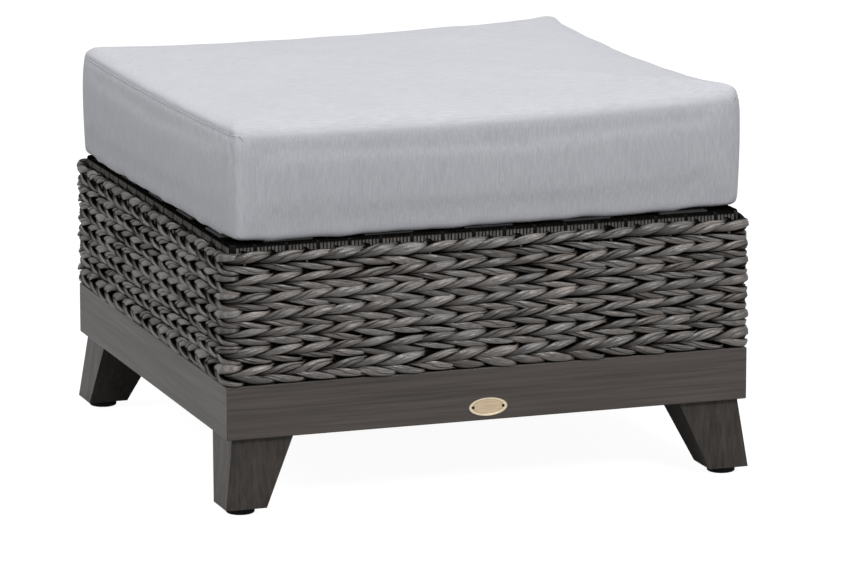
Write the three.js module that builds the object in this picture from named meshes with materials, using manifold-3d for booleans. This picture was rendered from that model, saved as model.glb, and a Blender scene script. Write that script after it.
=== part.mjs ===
// Outdoor ottoman footstool: a mitred aluminium base on four splayed legs with levelling
// glides, a woven resin body on an inner frame, webbing to sit on and one loose box cushion.
// Millimetres, +Z up, +Y to the back, origin on the floor under the middle of the stool.

import * as THREE from 'three';
import { mergeVertices } from 'three/addons/utils/BufferGeometryUtils.js';
import Module from 'manifold-3d';

const wasm = await Module();
wasm.setup();

// Base frame
const frameWidth = 656;
const frameDepth = 630;
const apronHeight = 64;
const apronThickness = 30;
const apronWall = 2;
const apronEdgeRadius = 1.5;

// Legs
const legHeight = 83.5;
const legTopWidth = 76;
const legBottomWidth = 50;
const legTopInset = 8.4;
const legBottomOutset = 2.4;
const legWall = 6;
const legTopPlate = 6;
const legBottomPlate = 12;

// Levelling glides
const footRadius = 17;
const footHeight = 8.5;
const footEdge = 1.2;
const footRibCount = 36;
const footRibDepth = 0.8;
const footSocketDepth = 5.5;
const studRadius = 4;
const studRise = 10;

// Corner plates inside the base and the bolts through them into the legs
const gussetThickness = 5;
const gussetReach = 92;
const gussetNose = 34;
const boltRadius = 4;
const boltRailDistance = 15;
const boltLegMargin = 13.4;
const boltEndReach = 2;
const boltHeadAcross = 13;
const boltHeadHeight = 5.3;
const boltHeadSides = 6;

// Woven skin: rows of strands, each with a raised ridge in front of every stake
const weaveBulge = 3;
const weaveThickness = 10;
const weaveHeight = 160;
const weaveCornerRadius = 13;
const weaveReliefDepth = 4.5;
const weaveRowCount = 14;
const weaveWidthStakes = 17;
const weaveDepthStakes = 16;
const ridgeEndShares = [0.35, 0.8];
const ridgeRiseShare = 0.22;

// Inner posts and seat rails
const postRadius = 11;
const postWall = 2;
const seatRailThickness = 18;
const seatRailHeight = 20;
const seatRailWall = 1.5;
const seatRailEdgeRadius = 1;
const seatRailTopRise = 166;
const wrapThickness = 1.5;

// Webbing of the seat
const strapWidth = 60;
const strapThickness = 1.6;
const strapCount = 5;
const strapEndMargin = 2;
const strapEndTab = 20;

// Cushion
const cushionInset = 2;
const cushionCornerRadius = 22;
const cushionSideHeight = 127;
const cushionCrown = 17;
const cushionEdgeSag = 4;
const cushionDrawIn = 2;
const cushionSideBulge = 3;
const cushionBottomRoll = 8;
const cushionTopRoll = 6;
const cushionSideShares = [0.3, 0.5, 0.7];
const cushionCrownShares = [0.95, 0.88, 0.76, 0.55, 0.25];
const cushionCrownPower = 5;
const cushionInnerCornerShare = 1 / 3;
const cushionSideSteps = 8;
const cushionCornerSteps = 6;
const cushionRollSteps = 3;

// Oval plate on the front of the base
const plateWidth = 48;
const plateHeight = 22;
const plateThickness = 1.2;
const plateRise = 16.5;
const plateShift = -4;
const pinEdgeDistance = 5;
const pinHeadRadius = 1.7;
const pinHeadHeight = 0.6;
const pinShankRadius = 1.1;
const pinShankReach = 2.6;

// Clearances, cutting overrun and smoothness
const seatGap = 0.3;
const cutOverrun = 5;
const roundSegments = 24;
const cornerSegments = 8;
const edgeSegments = 2;

// Heights above the floor
const legBottomZ = footHeight + seatGap;
const apronBottomZ = legBottomZ + legHeight;
const apronTopZ = apronBottomZ + apronHeight;
const seatRailTopZ = apronTopZ + seatRailTopRise;
const seatRailBottomZ = seatRailTopZ - seatRailHeight;
const wrapTopZ = seatRailTopZ + seatGap + wrapThickness;
const seatTopZ = wrapTopZ + 2 * strapThickness;
const cushionBottomZ = seatTopZ + seatGap;

// Distances inward from the outer face of the base
const weaveInnerInset = weaveThickness - weaveBulge;
const weaveCornerInset = weaveCornerRadius - weaveBulge;
const postCentreInset = weaveInnerInset + seatGap + postRadius;
const wrapOuterInset = weaveInnerInset + seatGap;
const seatRailInset = wrapOuterInset + wrapThickness + seatGap;
const legBottomCentre = legBottomWidth / 2 - legBottomOutset;
const postInnerInset = postCentreInset + postRadius;

// Half a corner of the weave, measured along the face of the base
const weaveHalfCorner = weaveCornerInset * Math.PI / 4;

const cushionWidth = frameWidth - 2 * cushionInset;
const cushionDepth = frameDepth - 2 * cushionInset;

// Centre height of the oval plate and the places of its pins along the front
const plateCentreZ = apronBottomZ + plateRise;
const pinReach = plateWidth / 2 - pinEdgeDistance;
const pinPlaces = [plateShift - pinReach, plateShift + pinReach];

const framePaint = { color: 0x4a4542, roughness: 0.5, metalness: 0.6 };
const innerPaint = { color: 0x1c1b1b, roughness: 0.6, metalness: 0.4 };
const resinWeave = { color: 0x77716d, roughness: 0.65, metalness: 0 };
const resinWrap = { color: 0x6b6663, roughness: 0.65, metalness: 0 };
const webbing = { color: 0x1d1d1f, roughness: 0.9, metalness: 0 };
const canvas = { color: 0xb4b6bc, roughness: 0.95, metalness: 0 };
const glideBlack = { color: 0x151516, roughness: 0.55, metalness: 0 };
const zincSteel = { color: 0xb9bcc0, roughness: 0.35, metalness: 1 };
const oldBrass = { color: 0x8d7343, roughness: 0.35, metalness: 1 };

const ottoman = new THREE.Group();

// Solid modelling helpers

function toSolid(geometry) {
  const bare = geometry.index ? geometry.toNonIndexed() : geometry.clone();
  bare.deleteAttribute('normal');
  bare.deleteAttribute('uv');
  const merged = mergeVertices(bare);
  return new wasm.Manifold(new wasm.Mesh({
    numProp: 3,
    vertProperties: Float32Array.from(merged.attributes.position.array),
    triVerts: Uint32Array.from(merged.index.array),
  }));
}

function toGeometry(solid) {
  const mesh = solid.getMesh();
  const geometry = new THREE.BufferGeometry();
  geometry.setAttribute('position', new THREE.BufferAttribute(mesh.vertProperties, 3));
  geometry.setIndex(new THREE.BufferAttribute(mesh.triVerts, 1));
  return geometry;
}

function subtract(geometry, ...cutters) {
  return toGeometry(cutters.reduce((solid, cutter) => solid.subtract(toSolid(cutter)), toSolid(geometry)));
}

function intersect(geometry, other) {
  return toGeometry(toSolid(geometry).intersect(toSolid(other)));
}

function addPiece(parent, name, geometry, finish) {
  const mesh = new THREE.Mesh(geometry, new THREE.MeshStandardMaterial(finish));
  mesh.name = name;
  parent.add(mesh);
  return mesh;
}

function uprightCylinder(radius, bottom, top, segments = roundSegments) {
  const geometry = new THREE.CylinderGeometry(radius, radius, top - bottom, segments);
  return geometry.rotateX(Math.PI / 2).translate(0, 0, (bottom + top) / 2);
}

function boxBetween(low, high) {
  const size = high.map((value, axis) => value - low[axis]);
  const centre = high.map((value, axis) => (value + low[axis]) / 2);
  return new THREE.BoxGeometry(...size).translate(...centre);
}

// Plan outline of the stool drawn in by inset, with rounded corners where radius is not zero
function planOutline(inset, radius = 0) {
  const x = frameWidth / 2 - inset;
  const y = frameDepth / 2 - inset;
  const shape = new THREE.Shape();
  if (radius === 0) {
    shape.setFromPoints([[-x, -y], [x, -y], [x, y], [-x, y]].map((p) => new THREE.Vector2(...p)));
    return shape;
  }
  shape.absarc(x - radius, -y + radius, radius, -Math.PI / 2, 0);
  shape.absarc(x - radius, y - radius, radius, 0, Math.PI / 2);
  shape.absarc(-x + radius, y - radius, radius, Math.PI / 2, Math.PI);
  shape.absarc(-x + radius, -y + radius, radius, Math.PI, Math.PI * 3 / 2);
  shape.closePath();
  return shape;
}

// Closed band between two insets, with its long edges rounded by edgeRadius
function band({ outerInset, innerInset, bottom, top, outerRadius = 0, innerRadius = 0, edgeRadius = 0 }) {
  const shape = planOutline(outerInset, outerRadius);
  shape.holes.push(planOutline(innerInset, innerRadius));
  const geometry = new THREE.ExtrudeGeometry(shape, {
    depth: top - bottom - 2 * edgeRadius,
    curveSegments: cornerSegments,
    bevelEnabled: edgeRadius > 0,
    bevelThickness: edgeRadius,
    bevelSize: edgeRadius,
    bevelOffset: -edgeRadius,
    bevelSegments: edgeSegments,
  });
  return geometry.translate(0, 0, bottom + edgeRadius);
}

// The four sides, each named by where it lies, with the mitred wedge that cuts it from a band
const sides = ['front', 'right', 'back', 'left'].map((name, quarter) => {
  const length = quarter % 2 ? frameDepth : frameWidth;
  const offset = quarter % 2 ? frameWidth : frameDepth;
  return { name, quarter, length, offset };
});

function sideGroup({ quarter, offset }) {
  const group = new THREE.Group();
  group.rotation.z = quarter * Math.PI / 2;
  group.position.set(0, -offset / 2, 0).applyAxisAngle(new THREE.Vector3(0, 0, 1), group.rotation.z);
  return group;
}

function mitreWedge({ quarter, length, offset }) {
  const reach = Math.min(length, offset) / 2 - cutOverrun;
  const ease = seatGap / Math.SQRT2;
  const outer = length / 2 + cutOverrun - ease;
  const inner = length / 2 - reach - ease;
  const near = -offset / 2 - cutOverrun;
  const far = -offset / 2 + reach;
  const corners = [[-outer, near], [outer, near], [inner, far], [-inner, far]];
  const shape = new THREE.Shape(corners.map((p) => new THREE.Vector2(...p)));
  const depth = seatRailTopZ + 2 * cutOverrun;
  const geometry = new THREE.ExtrudeGeometry(shape, { depth, bevelEnabled: false });
  return geometry.translate(0, 0, -cutOverrun).rotateZ(quarter * Math.PI / 2);
}

function mitredBox({ inset, thickness, wall, bottom, top, edgeRadius, outerRadius = 0 }) {
  const outside = band({
    outerInset: inset,
    innerInset: inset + thickness,
    bottom,
    top,
    outerRadius,
    edgeRadius,
  });
  const inside = band({
    outerInset: inset + wall,
    innerInset: inset + thickness - wall,
    bottom: bottom + wall,
    top: top - wall,
    outerRadius: Math.max(outerRadius - wall, 0),
  });
  return subtract(outside, inside);
}

// Base: four mitred box rails, the front one drilled for the pins of the oval plate
function addApron() {
  const ring = mitredBox({
    inset: 0,
    thickness: apronThickness,
    wall: apronWall,
    bottom: apronBottomZ,
    top: apronTopZ,
    edgeRadius: apronEdgeRadius,
  });
  for (const side of sides) {
    const rail = intersect(ring, mitreWedge(side));
    const drilled = side.name === 'front' ? subtract(rail, ...pinHoles()) : rail;
    addPiece(ottoman, `${side.name}_base_rail`, drilled, framePaint);
  }
}

// Corners, in a frame whose origin is the outer corner of the base and whose +X and +Y go inward
const corners = ['front_left', 'front_right', 'back_right', 'back_left'].map((name, quarter) => {
  const x = (quarter === 0 || quarter === 3 ? -1 : 1) * frameWidth / 2;
  const y = (quarter < 2 ? -1 : 1) * frameDepth / 2;
  return { name, quarter, x, y };
});

function cornerGroup({ quarter, x, y }) {
  const group = new THREE.Group();
  group.rotation.z = quarter * Math.PI / 2;
  group.position.set(x, y, 0);
  return group;
}

// Square frustum from a lower to an upper square, each given by its near edge and its width
function frustum({ bottom, top, bottomEdge, bottomWidth, topEdge, topWidth }) {
  const geometry = new THREE.BoxGeometry(1, 1, 1);
  const position = geometry.attributes.position;
  for (let i = 0; i < position.count; i += 1) {
    const upper = position.getZ(i) > 0;
    const edge = upper ? topEdge : bottomEdge;
    const width = upper ? topWidth : bottomWidth;
    const x = position.getX(i) > 0 ? edge + width : edge;
    const y = position.getY(i) > 0 ? edge + width : edge;
    position.setXYZ(i, x, y, upper ? top : bottom);
  }
  return geometry;
}

function boltCentres() {
  const near = apronThickness + boltRailDistance;
  const far = legTopInset + legTopWidth - boltLegMargin;
  return [[near, far], [far, near]];
}

function legGeometry() {
  const outside = frustum({
    bottom: legBottomZ,
    top: apronBottomZ,
    bottomEdge: -legBottomOutset,
    bottomWidth: legBottomWidth,
    topEdge: legTopInset,
    topWidth: legTopWidth,
  });
  const edgeSlope = (legTopInset + legBottomOutset) / legHeight;
  const widthSlope = (legTopWidth - legBottomWidth) / legHeight;
  const hollowTop = legHeight - legTopPlate;
  const inside = frustum({
    bottom: legBottomZ + legBottomPlate,
    top: legBottomZ + hollowTop,
    bottomEdge: -legBottomOutset + edgeSlope * legBottomPlate + legWall,
    bottomWidth: legBottomWidth + widthSlope * legBottomPlate - 2 * legWall,
    topEdge: -legBottomOutset + edgeSlope * hollowTop + legWall,
    topWidth: legBottomWidth + widthSlope * hollowTop - 2 * legWall,
  });
  const bore = uprightCylinder(
    studRadius + seatGap,
    legBottomZ - cutOverrun,
    legBottomZ + legBottomPlate + cutOverrun,
  ).translate(legBottomCentre, legBottomCentre, 0);
  const boltBores = boltCentres().map(([x, y]) => uprightCylinder(
    boltRadius + seatGap,
    apronBottomZ - legTopPlate - cutOverrun,
    apronBottomZ + cutOverrun,
  ).translate(x, y, 0));
  return subtract(outside, inside, bore, ...boltBores);
}

function gussetGeometry() {
  const near = apronThickness + seatGap;
  const far = near + gussetReach;
  const nose = near + gussetNose;
  const outline = [[near, near], [far, near], [far, nose], [nose, far], [near, far]];
  const shape = new THREE.Shape(outline.map((p) => new THREE.Vector2(...p)));
  const plate = new THREE.ExtrudeGeometry(shape, { depth: gussetThickness, bevelEnabled: false });
  plate.translate(0, 0, apronBottomZ);
  const holes = boltCentres().map(([x, y]) => uprightCylinder(
    boltRadius + seatGap,
    apronBottomZ - cutOverrun,
    apronBottomZ + gussetThickness + cutOverrun,
  ).translate(x, y, 0));
  return subtract(plate, ...holes);
}

// Hexagon-head bolt: its six-sided head and its round shank joined into one solid
function boltGeometry([x, y]) {
  const headBottom = apronBottomZ + gussetThickness;
  const head = uprightCylinder(
    boltHeadAcross / 2 / Math.cos(Math.PI / boltHeadSides),
    headBottom,
    headBottom + boltHeadHeight,
    boltHeadSides,
  );
  const shank = uprightCylinder(
    boltRadius,
    apronBottomZ - legTopPlate - boltEndReach,
    headBottom + boltHeadHeight / 2,
  );
  return toGeometry(toSolid(head).add(toSolid(shank))).translate(x, y, 0);
}

function footGeometry() {
  const steps = footRibCount * 2;
  const points = Array.from({ length: steps }, (_, i) => {
    const radius = footRadius - (i % 2 ? footRibDepth : 0);
    const angle = i * 2 * Math.PI / steps;
    return new THREE.Vector2(radius * Math.cos(angle), radius * Math.sin(angle));
  });
  const disc = new THREE.ExtrudeGeometry(new THREE.Shape(points), {
    depth: footHeight - 2 * footEdge,
    bevelThickness: footEdge,
    bevelSize: footEdge,
    bevelOffset: -footEdge,
    bevelSegments: 1,
  }).translate(0, 0, footEdge);
  const socket = uprightCylinder(
    studRadius + seatGap,
    footHeight - footSocketDepth,
    footHeight + cutOverrun,
  );
  return subtract(disc, socket);
}

function studGeometry() {
  const bottom = footHeight - footSocketDepth + seatGap;
  return uprightCylinder(studRadius, bottom, legBottomZ + legBottomPlate + studRise);
}

function postGeometry() {
  const shape = new THREE.Shape().absarc(0, 0, postRadius, 0, 2 * Math.PI);
  shape.holes.push(new THREE.Path().absarc(0, 0, postRadius - postWall, 0, 2 * Math.PI));
  const geometry = new THREE.ExtrudeGeometry(shape, {
    depth: seatRailBottomZ - apronTopZ,
    curveSegments: roundSegments / 2,
    bevelEnabled: false,
  });
  return geometry.translate(postCentreInset, postCentreInset, apronTopZ);
}

function addCorners() {
  for (const corner of corners) {
    const group = cornerGroup(corner);
    addPiece(group, `${corner.name}_leg`, legGeometry(), framePaint);
    addPiece(group, `${corner.name}_gusset_plate`, gussetGeometry(), innerPaint);
    boltCentres().forEach((centre, i) => {
      addPiece(group, `${corner.name}_leg_bolt_${i + 1}`, boltGeometry(centre), zincSteel);
    });
    addPiece(group, `${corner.name}_post`, postGeometry(), innerPaint);
    const foot = addPiece(group, `${corner.name}_glide_foot`, footGeometry(), glideBlack);
    const stud = addPiece(group, `${corner.name}_glide_stud`, studGeometry(), zincSteel);
    foot.position.set(legBottomCentre, legBottomCentre, 0);
    stud.position.set(legBottomCentre, legBottomCentre, 0);
    ottoman.add(group);
  }
}

// Woven skin, in the frame of one side: a point at a distance along the side from its left mitre
// and at a distance outward from the face of the base, with the joint's gap kept at both mitres
function weavePoint(side, distance, outward, z) {
  const straight = side.length - 2 * weaveCornerInset;
  const before = Math.min(distance - weaveHalfCorner, 0);
  const after = Math.max(distance - weaveHalfCorner - straight, 0);
  const angle = (before + after) / weaveCornerInset;
  const radius = weaveCornerInset + outward;
  const middle = distance - weaveHalfCorner - before - after - straight / 2;
  const mitreEase = (angle / (Math.PI / 4)) * seatGap / Math.SQRT2;
  const x = middle + radius * Math.sin(angle) - mitreEase;
  return [x, weaveCornerInset - radius * Math.cos(angle), z];
}

// Cells of a side, one for each stake: distances of its edges and corner ends, and of its ridge
function weaveCells(side) {
  const length = side.length - 2 * weaveCornerInset + 2 * weaveHalfCorner;
  const count = side.quarter % 2 ? weaveDepthStakes : weaveWidthStakes;
  const width = length / count;
  return Array.from({ length: count }, (_, i) => ({
    edges: [
      i * width,
      ...(i === 0 ? [weaveHalfCorner] : []),
      ...(i === count - 1 ? [length - weaveHalfCorner] : []),
      (i + 1) * width,
    ],
    ridge: ridgeEndShares.map((share) => (i + share) * width),
    pivot: i === 0 ? 1 : 0,
  }));
}

// Hipped ridge of one cell and row: its edges lie in the valleys, its two crest points between them
function ridgeTriangles(low, high, [left, right], pivot) {
  const triangles = [
    [low[pivot], right, left],
    [high[pivot], left, right],
    [low[0], left, high[0]],
    [low.at(-1), high.at(-1), right],
  ];
  for (let k = 0; k < low.length - 1; k += 1) {
    const crest = k < pivot ? left : right;
    triangles.push([low[k], low[k + 1], crest], [high[k], crest, high[k + 1]]);
  }
  return triangles;
}

// Plain back and the top and bottom edges, between two stations
function backTriangles(outerLow, outerHigh, innerLow, innerHigh) {
  return [
    [innerLow[1], innerLow[0], innerHigh[0]],
    [innerLow[1], innerHigh[0], innerHigh[1]],
    [outerHigh[0], outerHigh[1], innerHigh[1]],
    [outerHigh[0], innerHigh[1], innerHigh[0]],
    [outerLow[1], outerLow[0], innerLow[0]],
    [outerLow[1], innerLow[0], innerLow[1]],
  ];
}

// One side: rows of ridges that climb and fall by turns, over a plain back
function weaveGeometry(side) {
  const cells = weaveCells(side);
  const rowHeight = weaveHeight / weaveRowCount;
  const outer = (distance, line) => (
    weavePoint(side, distance, weaveBulge - weaveReliefDepth, apronTopZ + line * rowHeight));
  const crest = (distance, line) => (
    weavePoint(side, distance, weaveBulge, apronTopZ + line * rowHeight));
  const inner = (distance, line) => (
    weavePoint(side, distance, -weaveInnerInset, apronTopZ + line * rowHeight));
  const triangles = [];
  for (let row = 0; row < weaveRowCount; row += 1) {
    const rise = row % 2 ? ridgeRiseShare : -ridgeRiseShare;
    for (const { edges, ridge, pivot } of cells) {
      const low = edges.map((distance) => outer(distance, row));
      const high = edges.map((distance) => outer(distance, row + 1));
      const crests = [
        crest(ridge[0], row + 1 / 2 - rise),
        crest(ridge[1], row + 1 / 2 + rise),
      ];
      triangles.push(...ridgeTriangles(low, high, crests, pivot));
    }
  }
  const stations = [...cells.flatMap(({ edges }) => edges.slice(0, -1)), cells.at(-1).edges.at(-1)];
  for (let k = 0; k < stations.length - 1; k += 1) {
    const pair = stations.slice(k, k + 2);
    const [outerLow, innerLow] = [outer, inner].map((face) => pair.map((d) => face(d, 0)));
    const [outerHigh, innerHigh] = [outer, inner].map((face) => pair.map((d) => face(d, weaveRowCount)));
    triangles.push(...backTriangles(outerLow, outerHigh, innerLow, innerHigh));
  }
  for (const distance of [stations[0], stations.at(-1)]) {
    const rim = Array.from({ length: weaveRowCount + 1 }, (_, line) => outer(distance, line));
    rim.push(inner(distance, weaveRowCount));
    for (let k = 0; k < rim.length - 1; k += 1) {
      const edge = distance === 0 ? [rim[k], rim[k + 1]] : [rim[k + 1], rim[k]];
      triangles.push([inner(distance, 0), ...edge]);
    }
  }
  const geometry = new THREE.BufferGeometry();
  geometry.setAttribute('position', new THREE.Float32BufferAttribute(triangles.flat(2), 3));
  return toGeometry(toSolid(geometry));
}

function addWeave() {
  for (const side of sides) {
    const group = sideGroup(side);
    addPiece(group, `${side.name}_woven_side`, weaveGeometry(side), resinWeave);
    ottoman.add(group);
  }
}

// Seat rails on the posts, each with a sleeve of wound resin strand between the posts
function addSeatRails() {
  const ring = mitredBox({
    inset: seatRailInset,
    thickness: seatRailThickness,
    wall: seatRailWall,
    bottom: seatRailBottomZ,
    top: seatRailTopZ,
    edgeRadius: seatRailEdgeRadius,
    outerRadius: postCentreInset - seatRailInset,
  });
  for (const side of sides) {
    addPiece(ottoman, `${side.name}_seat_rail`, intersect(ring, mitreWedge(side)), innerPaint);
    const group = sideGroup(side);
    addPiece(group, `${side.name}_rail_wrap`, wrapGeometry(side.length), resinWrap);
    ottoman.add(group);
  }
}

function wrapGeometry(length) {
  const half = length / 2 - postInnerInset - seatGap;
  const near = seatRailInset - seatGap;
  const far = seatRailInset + seatRailThickness + seatGap;
  const low = seatRailBottomZ - seatGap;
  const high = seatRailTopZ + seatGap;
  const outside = boxBetween(
    [-half, near - wrapThickness, low - wrapThickness],
    [half, far + wrapThickness, high + wrapThickness],
  );
  const inside = boxBetween([-half - cutOverrun, near, low], [half + cutOverrun, far, high]);
  return subtract(outside, inside);
}

// Webbing: the lengthwise straps lie on the side wraps, the crosswise ones over them
function strapCentres(span) {
  const clear = span - 2 * (postInnerInset + seatGap) - strapWidth;
  const inner = clear - 2 * strapEndTab;
  return Array.from({ length: strapCount }, (_, i) => inner * (i / (strapCount - 1)) - inner / 2);
}

function addWebbing() {
  const ends = wrapOuterInset + strapEndMargin;
  strapCentres(frameDepth).forEach((y, i) => {
    const half = frameWidth / 2 - ends;
    const strap = boxBetween(
      [-half, y - strapWidth / 2, wrapTopZ],
      [half, y + strapWidth / 2, wrapTopZ + strapThickness],
    );
    addPiece(ottoman, `lengthwise_strap_${i + 1}`, strap, webbing);
  });
  strapCentres(frameWidth).forEach((x, i) => {
    addPiece(ottoman, `crosswise_strap_${i + 1}`, crossStrapGeometry(x, ends), webbing);
  });
}

// Crosswise strap from its side profile, whose ends step down over the lengthwise straps
function crossStrapGeometry(x, ends) {
  const half = frameDepth / 2 - ends;
  const tab = half - strapEndTab;
  const step = tab - strapEndMargin;
  const under = (y) => (y >= tab ? wrapTopZ : wrapTopZ + strapThickness);
  const stations = [half, tab, step].map((y) => [y, under(y)]);
  const upper = stations.map(([y, z]) => [y, z + strapThickness]);
  const right = [...stations].reverse();
  const outline = [
    ...right,
    ...upper,
    ...[...upper].reverse().map(([y, z]) => [-y, z]),
    ...stations.map(([y, z]) => [-y, z]),
  ];
  const shape = new THREE.Shape(outline.map((p) => new THREE.Vector2(...p)));
  const geometry = new THREE.ExtrudeGeometry(shape, { depth: strapWidth, bevelEnabled: false });
  return geometry.rotateX(Math.PI / 2).rotateZ(Math.PI / 2).translate(x - strapWidth / 2, 0, 0);
}

// Cushion: rings of one plan outline, stacked from the flat bottom over the sides to the crown
function cushionRing({ inset, height, drawIn, sag }) {
  const x = cushionWidth / 2 - inset;
  const y = cushionDepth / 2 - inset;
  const radius = Math.max(cushionCornerRadius - inset, cushionCornerRadius * cushionInnerCornerShare);
  const points = [];
  for (let quarter = 0; quarter < 4; quarter += 1) {
    const along = quarter % 2 ? y : x;
    const across = quarter % 2 ? x : y;
    const turn = quarter * Math.PI / 2;
    const place = (u, v, z) => points.push([
      u * Math.cos(turn) - v * Math.sin(turn),
      u * Math.sin(turn) + v * Math.cos(turn),
      z,
    ]);
    for (let i = 0; i < cushionSideSteps; i += 1) {
      const share = i / cushionSideSteps;
      const hollow = 1 - (2 * share - 1) ** 2;
      const u = (2 * share - 1) * (along - radius);
      place(u, -across + drawIn * hollow, height - sag * hollow);
    }
    for (let i = 0; i < cushionCornerSteps; i += 1) {
      const angle = (i / cushionCornerSteps) * Math.PI / 2;
      const u = along - radius + radius * Math.sin(angle);
      place(u, -across + radius - radius * Math.cos(angle), height);
    }
  }
  return points;
}

function cushionRings() {
  const rings = [];
  const bottomZ = cushionBottomZ;
  const seamZ = cushionBottomZ + cushionSideHeight;
  for (let i = 0; i <= cushionRollSteps; i += 1) {
    const angle = (i / cushionRollSteps) * Math.PI / 2;
    rings.push(cushionRing({
      inset: cushionSideBulge + cushionBottomRoll * (1 - Math.sin(angle)),
      height: bottomZ + cushionBottomRoll * (1 - Math.cos(angle)),
      drawIn: cushionDrawIn,
      sag: 0,
    }));
  }
  const sideBottom = bottomZ + cushionBottomRoll;
  const sideTop = seamZ - cushionTopRoll;
  for (const share of cushionSideShares) {
    rings.push(cushionRing({
      inset: cushionSideBulge * (1 - Math.sin(share * Math.PI)),
      height: sideBottom + (sideTop - sideBottom) * share,
      drawIn: cushionDrawIn * (1 - Math.sin(share * Math.PI)),
      sag: cushionEdgeSag * share,
    }));
  }
  for (let i = 0; i <= cushionRollSteps; i += 1) {
    const angle = (i / cushionRollSteps) * Math.PI / 2;
    rings.push(cushionRing({
      inset: cushionSideBulge + cushionTopRoll * (1 - Math.cos(angle)),
      height: sideTop + cushionTopRoll * Math.sin(angle),
      drawIn: cushionDrawIn,
      sag: cushionEdgeSag,
    }));
  }
  const topInset = cushionSideBulge + cushionTopRoll;
  const halfDepth = cushionDepth / 2;
  for (const share of cushionCrownShares) {
    rings.push(cushionRing({
      inset: topInset + (halfDepth - topInset) * (1 - share),
      height: seamZ + cushionCrown * (1 - share ** cushionCrownPower),
      drawIn: cushionDrawIn * share,
      sag: cushionEdgeSag * share ** cushionCrownPower,
    }));
  }
  return rings;
}

function cushionGeometry() {
  const rings = cushionRings();
  const count = rings[0].length;
  const spread = cushionWidth / 2 - cushionDepth / 2;
  const seamZ = cushionBottomZ + cushionSideHeight;
  const bottom = [[-spread, 0, cushionBottomZ], [spread, 0, cushionBottomZ]];
  const top = [[-spread, 0, seamZ + cushionCrown], [spread, 0, seamZ + cushionCrown]];
  const vertices = [...rings.flat(), ...bottom, ...top];
  const indices = [];
  for (let r = 0; r < rings.length - 1; r += 1) {
    for (let i = 0; i < count; i += 1) {
      const a = r * count + i;
      const b = r * count + (i + 1) % count;
      indices.push(a, b, b + count, a, b + count, a + count);
    }
  }
  const bottomStart = rings.length * count;
  const topStart = bottomStart + bottom.length;
  closeCap(indices, 0, count, bottomStart, true);
  closeCap(indices, (rings.length - 1) * count, count, topStart, false);
  const geometry = new THREE.BufferGeometry();
  geometry.setAttribute('position', new THREE.Float32BufferAttribute(vertices.flat(), 3));
  geometry.setIndex(indices);
  return geometry;
}

// Fan from a ring to a left and a right centre point, joined by one seam along the middle
function closeCap(indices, start, count, centres, flip) {
  const quarter = count / 4;
  const centreOf = (i) => (i >= quarter / 2 && i < quarter * 5 / 2 ? centres + 1 : centres);
  const face = (a, b, c) => (flip ? indices.push(a, c, b) : indices.push(a, b, c));
  for (let i = 0; i < count; i += 1) {
    const a = start + i;
    const b = start + (i + 1) % count;
    const from = centreOf(i);
    const to = centreOf((i + 1) % count);
    face(a, b, to);
    if (from !== to) {
      face(a, to, from);
    }
  }
}

// Oval plate and its two pins on the front rail
function pinAt(x, radius, near, far) {
  const geometry = new THREE.CylinderGeometry(radius, radius, far - near, roundSegments / 2);
  return geometry.translate(x, (near + far) / 2 - frameDepth / 2, plateCentreZ);
}

function pinHoles() {
  return pinPlaces.map((x) => pinAt(x, pinShankRadius + seatGap, -cutOverrun, apronWall + cutOverrun));
}

function addPlate() {
  const oval = new THREE.Shape();
  oval.absellipse(plateShift, 0, plateWidth / 2, plateHeight / 2, 0, 2 * Math.PI);
  const blank = new THREE.ExtrudeGeometry(oval, {
    depth: plateThickness,
    curveSegments: roundSegments,
    bevelEnabled: false,
  }).rotateX(Math.PI / 2).translate(0, -frameDepth / 2, plateCentreZ);
  addPiece(ottoman, 'oval_plate', subtract(blank, ...pinHoles()), oldBrass);
  pinPlaces.forEach((x, i) => {
    const face = -plateThickness;
    const head = pinAt(x, pinHeadRadius, face - pinHeadHeight, face);
    const shank = pinAt(x, pinShankRadius, face - pinHeadHeight / 2, pinShankReach);
    const pin = toGeometry(toSolid(head).add(toSolid(shank)));
    addPiece(ottoman, `plate_pin_${i ? 'right' : 'left'}`, pin, oldBrass);
  });
}

addApron();
addCorners();
addWeave();
addSeatRails();
addWebbing();
addPiece(ottoman, 'seat_cushion', cushionGeometry(), canvas);
addPlate();

export default ottoman;
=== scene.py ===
# Looks of the outdoor ottoman footstool: the woven body strand by strand, the wound rim, the
# cloth cushion, the wood-grain metal base, the levelling glides and the oval plate.
# Everything is in metres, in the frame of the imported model: +Z up, +Y to the back.

import math

import bpy
import numpy as np
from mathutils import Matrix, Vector


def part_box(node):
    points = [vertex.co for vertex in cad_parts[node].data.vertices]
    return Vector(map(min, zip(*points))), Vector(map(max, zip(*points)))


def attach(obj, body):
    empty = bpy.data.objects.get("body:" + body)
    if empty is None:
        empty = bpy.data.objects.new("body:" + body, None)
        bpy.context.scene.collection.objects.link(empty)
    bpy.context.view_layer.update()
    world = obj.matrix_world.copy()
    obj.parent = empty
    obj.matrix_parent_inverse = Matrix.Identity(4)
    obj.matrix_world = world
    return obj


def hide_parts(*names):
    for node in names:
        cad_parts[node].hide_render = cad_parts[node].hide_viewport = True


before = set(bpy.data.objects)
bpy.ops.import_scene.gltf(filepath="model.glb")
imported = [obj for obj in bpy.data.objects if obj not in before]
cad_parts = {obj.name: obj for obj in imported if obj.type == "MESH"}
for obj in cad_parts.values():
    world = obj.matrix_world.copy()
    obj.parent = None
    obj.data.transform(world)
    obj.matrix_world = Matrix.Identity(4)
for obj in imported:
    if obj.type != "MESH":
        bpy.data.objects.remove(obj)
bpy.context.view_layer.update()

MM = 0.001
SIDES = ("front", "right", "back", "left")
CORNERS = ("front_left", "front_right", "back_right", "back_left")

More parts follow.
